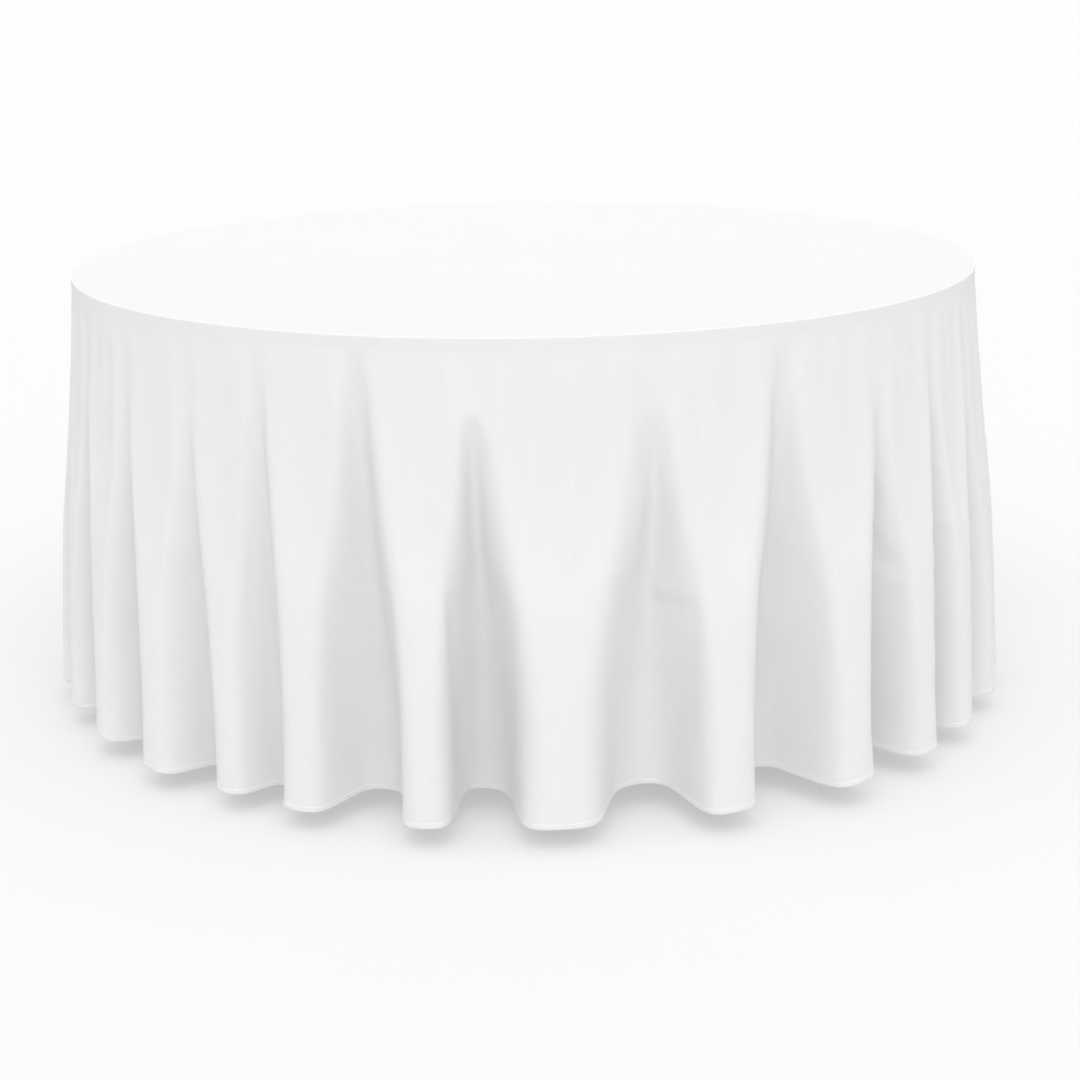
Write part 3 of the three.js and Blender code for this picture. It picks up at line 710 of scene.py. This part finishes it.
# %% The sewing thread
TWISTS = 2500.0  # plies of the thread, per metre
sewing_thread = Finish("sewing_thread", roughness=0.45, sheen_weight=0.3)
twist = sewing_thread.noise(sewing_thread.place(), TWISTS, detail=1)
sewing_thread.put("Base Color", sewing_thread.ramp(twist, (0.35, 0.56), (0.6, 0.68)))
sewing_thread.on(stitches)
print("fabric finishes made")

# %% [markdown]
# ## The table's finishes
#
# The table is hidden when the cloth is on, but it is seen from below and when the legs are folded. Each
# material gets what makes it itself: long grain on the birch face of the plywood, rings and specks on pine, a
# fine orange peel on powder coat, the spangle of zinc, and scuffs on the rubber feet.


# %% Birch plywood
def long_grain(finish, squeeze, scale, wobble):
    """Lines of grain: bands across a space that is squeezed along the grain and bent by noise."""
    place = finish.scaled(finish.place(), squeeze)
    bend = finish.noise(place, scale * 0.35, detail=3)
    sockets = {
        "Vector": place, "Scale": scale, "Distortion": wobble * bend, "Detail": 3.0, "Detail Scale": 2.0,
    }
    return finish.node("ShaderNodeTexWave", sockets, output="Fac", bands_direction="Y")


birch_ply = Finish("birch_ply")
figure = long_grain(birch_ply, (0.06, 1.0, 1.0), 16.0, 14.0)
pores = birch_ply.noise(birch_ply.scaled(birch_ply.place(), (0.02, 1.0, 1.0)), 700.0)
birch_ply.put("Base Color", birch_ply.mix(
    0.35 * pores,
    birch_ply.ramp(figure, (0.1, (0.60, 0.42, 0.24)), (0.9, (0.72, 0.54, 0.34))),
    (0.38, 0.24, 0.12),
))
birch_ply.put("Roughness", 0.42 + 0.2 * pores)
birch_ply.bump(figure * 0.3 + pores, 0.0002)

print("birch plywood made")

# %% Pine
planed_pine = Finish("planed_pine")
rings = long_grain(planed_pine, (0.05, 1.0, 1.0), 60.0, 9.0)
specks = planed_pine.noise(planed_pine.scaled(planed_pine.place(), (0.05, 1.0, 1.0)), 400.0)
planed_pine.put("Base Color", planed_pine.mix(
    0.3 * specks,
    planed_pine.ramp(rings, (0.2, (0.74, 0.55, 0.32)), (0.85, (0.52, 0.31, 0.14))),
    (0.42, 0.25, 0.11),
))
planed_pine.put("Roughness", 0.5 + 0.25 * specks)
planed_pine.bump(rings * 0.6 + specks, 0.0003)
print("pine made")

# %% Vinyl and powder coat
edge_band = Finish("edge_band")
band_grain = edge_band.noise(edge_band.place(), 500.0, detail=4)
edge_band.put("Base Color", edge_band.ramp(
    band_grain, (0.3, (0.02, 0.017, 0.015)), (0.75, (0.05, 0.043, 0.038))
))
edge_band.put("Roughness", 0.38 + 0.2 * band_grain)
edge_band.bump(band_grain, 0.0002)

powder_coat = Finish("grey_powder_coat")
peel = powder_coat.noise(powder_coat.place(), 900.0, detail=1)
rubs = powder_coat.noise(powder_coat.place(), 12.0, detail=5, roughness=0.65)
worn = powder_coat.ramp(rubs, (0.62, 0.0), (0.74, 1.0))
powder_coat.put("Base Color", powder_coat.mix(worn, (0.11, 0.115, 0.12), (0.17, 0.175, 0.18)))
powder_coat.put("Roughness", 0.4 + 0.12 * peel - 0.08 * worn)
powder_coat.bump(peel, 0.00015)
print("vinyl and powder coat made")

# %% Zinc and rubber
bright_zinc = Finish("bright_zinc", metallic=1.0)
spangle_sockets = {"Vector": bright_zinc.place(), "Scale": 350.0}
spangle = bright_zinc.node("ShaderNodeTexVoronoi", spangle_sockets, output="Distance")
haze = bright_zinc.noise(bright_zinc.place(), 60.0, detail=4)
bright_zinc.put("Base Color", bright_zinc.ramp(spangle, (0.0, (0.55, 0.56, 0.57)), (0.8, (0.70, 0.71, 0.72))))
bright_zinc.put("Roughness", 0.25 + 0.2 * haze)
bright_zinc.bump(haze, 0.0001)

foot_rubber = Finish("foot_rubber")
scuffs = foot_rubber.noise(foot_rubber.scaled(foot_rubber.place(), (1.0, 1.0, 4.0)), 150.0, detail=5)
foot_rubber.put("Base Color", foot_rubber.ramp(
    scuffs, (0.45, (0.018, 0.018, 0.018)), (0.8, (0.07, 0.068, 0.065))
))
foot_rubber.put("Roughness", 0.7 + 0.2 * scuffs)
foot_rubber.bump(scuffs, 0.0003)
print("zinc and rubber made")

# %% Giving each node its finish
SLOT_FINISHES = {
    "plywood": birch_ply, "edge_vinyl": edge_band, "pine": planed_pine,
    "grey_steel": powder_coat, "zinc_steel": bright_zinc, "black_rubber": foot_rubber,
}
finished = 0
for part in frame["record"]["subparts"]:
    if part["material_slot"] in SLOT_FINISHES:
        SLOT_FINISHES[part["material_slot"]].on(frame["nodes"][part["node"]])
        finished += 1
print("finished nodes:", finished)

# %% [markdown]
# ## Who carries what
#
# The fabric lies on the board, so it rides on the table's own body, with its hem and stitches. It stands
# for the plain solid of the same name, which stays behind for the physics.

# %% Riding and replacing
for piece in (drape, hem, stitches):
    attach(piece, "table")
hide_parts("tablecloth")

# %% [markdown]
# ## Stage, lights and camera
#
# White cloth on white needs large soft sources, or its folds disappear. The stage is one wide flat sheet
# of paper that glows faintly, so it reads as white up to the horizon. Five broad lights stand far off: the
# strongest in front, two weaker ones at the sides, one overhead for the flat top and one behind. The crests
# stay bright and the valleys fall off gently towards the hem. The sky adds a weak even light, but it has to
# look as white as the paper where the two meet, so it is brighter for the camera than for the cloth.

# %% The stage
STAGE_HALF = 400.0  # far enough for its edge to lie at the horizon
PAPER_TONE = 0.35
PAPER_GLOW = 0.44

ends = (-STAGE_HALF, STAGE_HALF)
stage = mesh_piece("stage", [(x, y, 0) for y in ends for x in ends], [(0, 1, 3, 2)])
paper = Finish("white_paper", roughness=0.9)
paper.put("Base Color", (PAPER_TONE, PAPER_TONE, PAPER_TONE))
paper.put("Emission Color", (1, 1, 1))
paper.put("Emission Strength", PAPER_GLOW)
paper.on(stage)
print(f"stage {2 * STAGE_HALF:.0f} m across")


# %% The lights
def far_light(name, bearing, height, spread, strength):
    """A broad light far away, by its bearing and height in degrees seen from the table."""
    light = bpy.data.lights.new(name, "SUN")
    light.angle = math.radians(spread)
    light.energy = strength
    lamp = bpy.data.objects.new(name, light)
    bpy.context.collection.objects.link(lamp)
    height = math.radians(height)
    shines_from = Vector((*around(bearing, math.cos(height)), math.sin(height)))
    lamp.rotation_euler = (-shines_from).to_track_quat("-Z", "Y").to_euler()


PANELS = (
    # name, bearing, height, spread, strength
    ("front_panel", 2, 42, 60, 2.08),
    ("left_panel", -82, 50, 50, 0.6),
    ("right_panel", 86, 50, 50, 0.55),
    ("overhead_panel", 0, 80, 40, 0.4),
    ("rear_panel", 178, 48, 60, 0.5),
)
for panel in PANELS:
    far_light(*panel)
print(len(PANELS), "lights")

# %% The sky
sky = bpy.data.worlds.new("sky")
bpy.context.scene.world = sky
sky.use_nodes = True
SKY_LIGHT = 0.5  # how strong the sky is as a light; looked at directly it is full white
backdrop = sky.node_tree.nodes["Background"]
backdrop.inputs["Color"].default_value = (1, 1, 1, 1)
looked_at = sky.node_tree.nodes.new("ShaderNodeLightPath").outputs["Is Camera Ray"]
brighter = sky.node_tree.nodes.new("ShaderNodeMath")
brighter.operation = "MULTIPLY_ADD"
brighter.inputs[1].default_value = 1 - SKY_LIGHT
brighter.inputs[2].default_value = SKY_LIGHT
sky.node_tree.links.new(looked_at, brighter.inputs[0])
sky.node_tree.links.new(brighter.outputs[0], backdrop.inputs["Strength"])
bpy.context.scene.view_settings.view_transform = "Standard"
print(f"sky gives {SKY_LIGHT} as light")

# %% The camera
LENS = 69.67
SENSOR = 36
CAMERA_BACK = 4.72 * TABLE_RADIUS
CAMERA_UP = 0.688 * TABLE_RADIUS  # above the table's top
LOOK_DOWN, LOOK_RIGHT, TILT = (math.radians(a) for a in (16.04, 0.35, -0.79))

eye = bpy.data.cameras.new("camera")
eye.lens, eye.sensor_width = LENS, SENSOR
camera = bpy.data.objects.new("camera", eye)
bpy.context.collection.objects.link(camera)
looking = Vector((
    math.sin(LOOK_RIGHT) * math.cos(LOOK_DOWN),
    math.cos(LOOK_RIGHT) * math.cos(LOOK_DOWN),
    -math.sin(LOOK_DOWN),
))
camera.matrix_world = (
    Matrix.Translation((0, -CAMERA_BACK, cad_high.z + CAMERA_UP))
    @ looking.to_track_quat("-Z", "Y").to_matrix().to_4x4()
    @ Matrix.Rotation(TILT, 4, "Z")
)
bpy.context.scene.camera = camera
print(f"camera {CAMERA_BACK:.2f} m back from the middle of the table")

# %% [markdown]
# The last cell prints the box round the solids that the cloth was built on.

# %% Closing
print("cad box", [round(v, 3) for v in (*cad_low, *cad_high)])
